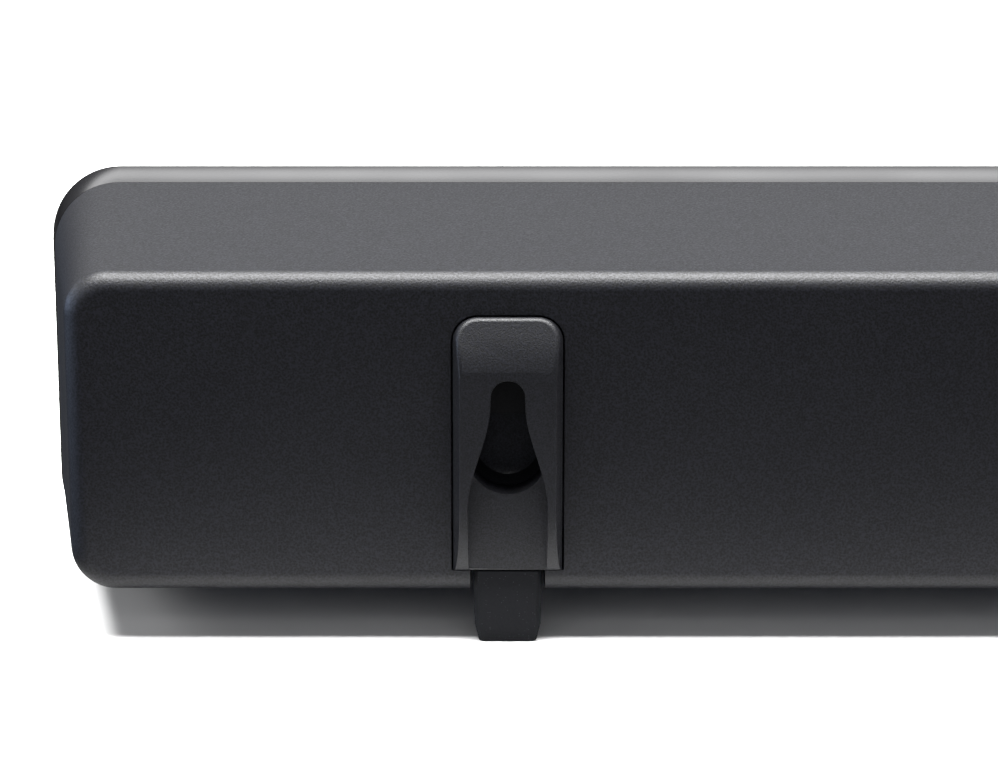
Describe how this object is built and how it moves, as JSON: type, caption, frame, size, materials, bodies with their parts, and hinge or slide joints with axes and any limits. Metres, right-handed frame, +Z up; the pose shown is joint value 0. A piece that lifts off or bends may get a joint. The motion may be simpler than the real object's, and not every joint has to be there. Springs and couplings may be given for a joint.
{
  "type": "monitor light bar",
  "caption": "Tapered desk light bar with an opal front window, press buttons on top, keyhole hangers behind and fold-away rubber feet.",
  "frame": {"origin": "bottom centre of the bounding box, on the surface that the feet and the front pads stand on", "axes": "+X along the bar, +Y out of the rear towards the wall, so the lit window faces -Y, +Z up"},
  "size_m": [0.4558, 0.064, 0.0661],
  "materials": {
    "textured_abs": "moulded black ABS with a fine spark-eroded grain, satin",
    "gloss_abs": "polished black ABS",
    "trim_abs": "matt black moulded ABS",
    "opal_acrylic": "opal diffusing acrylic, unlit",
    "gasket_foam": "closed-cell black foam strip",
    "white_plastic": "matt white reflector plastic",
    "white_board": "white solder resist on a lamp board",
    "warm_lamp": "warm white lamp phosphor",
    "cool_lamp": "cool white lamp phosphor",
    "thermal_pad": "soft blue-grey gap pad",
    "aluminium_sheet": "mill-finish sheet",
    "zinc_steel": "bright zinc-plated screws",
    "black_steel": "black oxide screws",
    "green_board": "green solder resist",
    "chip_epoxy": "black moulded epoxy",
    "capacitor_sleeve": "shrink sleeve on a capacitor can",
    "ferrite": "dark grey ferrite drum",
    "connector_nylon": "natural nylon",
    "flat_lead": "white laminated flat lead",
    "port_steel": "bright stainless port shell",
    "port_plastic": "black port tongue",
    "switch_body": "black switch body",
    "switch_stem": "orange switch stem",
    "clear_acrylic": "clear light pipe",
    "button_abs": "fine matt black button caps",
    "hanger_abs": "moulded black ABS, the same grain as the housing",
    "foot_core": "black glass-filled nylon",
    "foot_rubber": "matt black moulded rubber",
    "pin_steel": "bright hinge pin",
    "pad_rubber": "matt black self-adhesive rubber"
  },
  "bodies": {
    "housing": {"rear_shell": "textured_abs", "front_bezel": "gloss_abs", "front_trim": "trim_abs", "diffuser": "opal_acrylic", "diffuser_gasket": "gasket_foam", "reflector_tray": "white_plastic", "led_board_left": "white_board", "led_board_right": "white_board", "warm_leds": "warm_lamp", "cool_leds": "cool_lamp", "thermal_pads": "thermal_pad", "heat_spreader": "aluminium_sheet", "spreader_screws": "zinc_steel", "led_board_screws": "zinc_steel", "housing_screws": "black_steel", "driver_board": "green_board", "driver_chips": "chip_epoxy", "driver_capacitors": "capacitor_sleeve", "driver_inductors": "ferrite", "driver_connectors": "connector_nylon", "driver_screws": "zinc_steel", "led_leads": "flat_lead", "button_ribbon": "flat_lead", "usb_c_shell": "port_steel", "usb_c_tongue": "port_plastic", "button_board": "green_board", "button_board_screws": "zinc_steel", "tact_switches": "switch_body", "indicator_led": "cool_lamp", "indicator_light_pipe": "clear_acrylic", "hanger_left": "hanger_abs", "hanger_right": "hanger_abs", "hanger_cup_left": "hanger_abs", "hanger_cup_right": "hanger_abs", "hanger_screws": "zinc_steel", "foot_pin_left": "pin_steel", "foot_pin_right": "pin_steel", "front_pads": "pad_rubber"},
    "foot_left": {"foot_leg_left": "foot_core", "foot_boot_left": "foot_rubber"},
    "foot_right": {"foot_leg_right": "foot_core", "foot_boot_right": "foot_rubber"},
    "power": {"power_button": "button_abs", "power_switch_stem": "switch_stem"},
    "tone": {"tone_button": "button_abs", "tone_switch_stem": "switch_stem"},
    "dim_down": {"dim_down_button": "button_abs", "dim_down_switch_stem": "switch_stem"},
    "dim_up": {"dim_up_button": "button_abs", "dim_up_switch_stem": "switch_stem"}
  },
  "joints": [
    {"name": "foot_left_fold", "type": "hinge", "parent": "housing", "child": "foot_left", "pos_m": [-0.15, 0.0227, 0.0125], "axis": [-1, 0, 0], "range_deg": [0, 90]},
    {"name": "foot_right_fold", "type": "hinge", "parent": "housing", "child": "foot_right", "pos_m": [0.15, 0.0227, 0.0125], "axis": [-1, 0, 0], "range_deg": [0, 90]},
    {"name": "power_press", "type": "slide", "parent": "housing", "child": "power", "axis": [0, -0.1425, -0.9898], "range_m": [0, 0.0004], "stiffness_N_per_m": 1500, "springref_m": -0.0006},
    {"name": "tone_press", "type": "slide", "parent": "housing", "child": "tone", "axis": [0, -0.1425, -0.9898], "range_m": [0, 0.0004], "stiffness_N_per_m": 1500, "springref_m": -0.0006},
    {"name": "dim_down_press", "type": "slide", "parent": "housing", "child": "dim_down", "axis": [0, -0.1425, -0.9898], "range_m": [0, 0.0004], "stiffness_N_per_m": 1500, "springref_m": -0.0006},
    {"name": "dim_up_press", "type": "slide", "parent": "housing", "child": "dim_up", "axis": [0, -0.1425, -0.9898], "range_m": [0, 0.0004], "stiffness_N_per_m": 1500, "springref_m": -0.0006}
  ]
}
